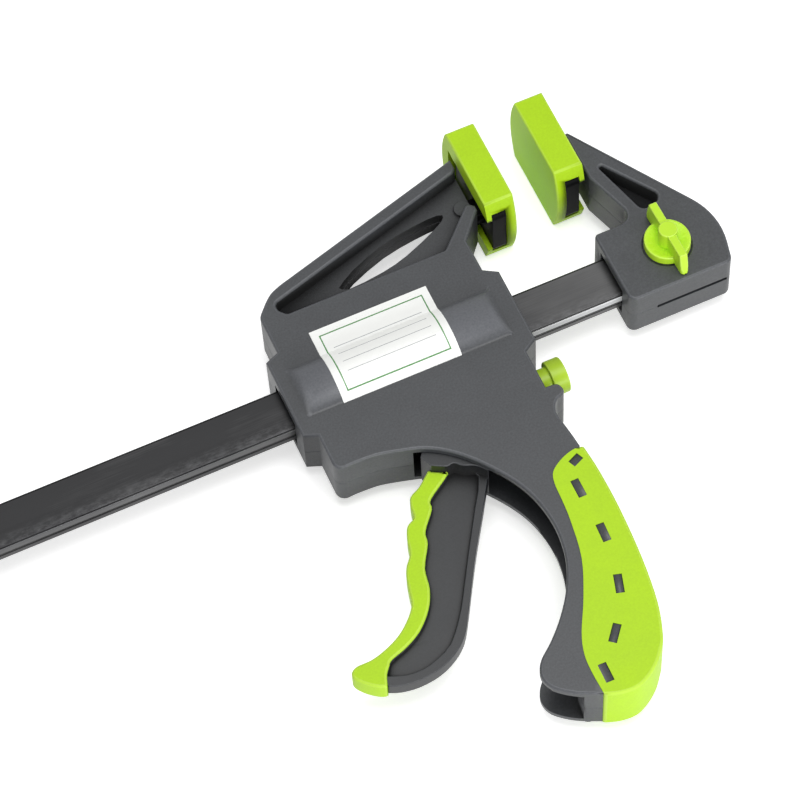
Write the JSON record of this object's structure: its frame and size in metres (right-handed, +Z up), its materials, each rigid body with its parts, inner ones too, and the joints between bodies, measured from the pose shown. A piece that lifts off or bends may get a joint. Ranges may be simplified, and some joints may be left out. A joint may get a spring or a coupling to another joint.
{
  "type": "quick release bar clamp",
  "caption": "One-handed bar clamp: a trigger jaw that slides along a flat steel bar, a fixed jaw with a locking knob, swivelling pads and a release button.",
  "frame": {"origin": "middle of the fixed pad's clamping face", "axes": "+X along the bar towards the fixed jaw, +Y from the bar towards the pads, +Z up from the bench with the clamp lying on its rear side"},
  "size_m": [0.4881, 0.2658, 0.0455],
  "materials": {
    "grey_nylon": "fine grain, glass-filled nylon",
    "lime_plastic": "satin moulded plastic",
    "lime_soft": "soft moulded grip, satin",
    "black_nylon": "satin moulded nylon",
    "dark_steel": "dark oxide, drawn along its length",
    "zinc_steel": "bright zinc",
    "label_film": "printed film, blank"
  },
  "bodies": {
    "bar_and_fixed_jaw": {"bar": "dark_steel", "bar_end_stop": "zinc_steel", "fixed_jaw_front_shell": "grey_nylon", "fixed_jaw_rear_shell": "grey_nylon", "fixed_jaw_screws": "zinc_steel", "fixed_swivel_pin": "zinc_steel"},
    "lock": {"lock_knob": "lime_plastic", "lock_pin": "zinc_steel", "lock_clip": "zinc_steel"},
    "fixed_pad_group": {"fixed_foot": "black_nylon", "fixed_pad": "lime_soft"},
    "moving_jaw": {"housing_front_shell": "grey_nylon", "housing_rear_shell": "grey_nylon", "housing_screws": "zinc_steel", "handle_grip": "lime_soft", "label": "label_film", "trigger_pin": "zinc_steel", "drive_spring": "dark_steel", "brake_spring": "dark_steel", "moving_swivel_pin": "zinc_steel"},
    "trigger_group": {"trigger": "grey_nylon", "trigger_grip": "lime_soft"},
    "drive": {"drive_plates": "zinc_steel"},
    "brake": {"brake_plate": "zinc_steel"},
    "button": {"release_button": "lime_plastic", "button_clip": "zinc_steel"},
    "moving_pad_group": {"moving_foot": "black_nylon", "moving_pad": "lime_soft"}
  },
  "joints": [
    {"name": "jaw_slide", "type": "slide", "parent": "bar_and_fixed_jaw", "child": "moving_jaw", "axis": [1, 0, 0], "range_m": [-0.2806, 0.0191]},
    {"name": "lock_turn", "type": "hinge", "parent": "bar_and_fixed_jaw", "child": "lock", "pos_m": [0.0298, -0.0665, 0], "axis": [0, 0, 1], "range_deg": [0, 90]},
    {"name": "fixed_pad_swivel", "type": "hinge", "parent": "bar_and_fixed_jaw", "child": "fixed_pad_group", "pos_m": [0.0185, -0.009, 0], "axis": [0, 0, 1], "range_deg": [-3.5, 3.5]},
    {"name": "moving_pad_swivel", "type": "hinge", "parent": "moving_jaw", "child": "moving_pad_group", "pos_m": [-0.0379, -0.0107, 0], "axis": [0, 0, 1], "range_deg": [-3.5, 3.5]},
    {"name": "trigger_squeeze", "type": "hinge", "parent": "moving_jaw", "child": "trigger_group", "pos_m": [-0.093, -0.104, 0], "axis": [0, 0, 1], "range_deg": [0, 22], "stiffness_Nm_per_rad": 0.6, "springref_deg": -8.59},
    {"name": "drive_stroke", "type": "slide", "parent": "moving_jaw", "child": "drive", "axis": [1, 0, 0], "range_m": [-0.0066, 0], "deforming": ["drive_spring"]},
    {"name": "button_press", "type": "slide", "parent": "moving_jaw", "child": "button", "axis": [-1, 0, 0], "range_m": [0, 0.003], "stiffness_N_per_m": 1500, "springref_m": -0.002},
    {"name": "brake_tilt", "type": "hinge", "parent": "moving_jaw", "child": "brake", "pos_m": [-0.0563, -0.0513, 0], "axis": [0, 0, 1], "range_deg": [-3.8, 0], "deforming": ["brake_spring"]}
  ],
  "couplings": [
    {"joint": "drive_stroke", "follows": "trigger_squeeze", "m_per_rad": -0.01693},
    {"joint": "brake_tilt", "follows": "button_press", "rad_per_m": -21.8}
  ]
}
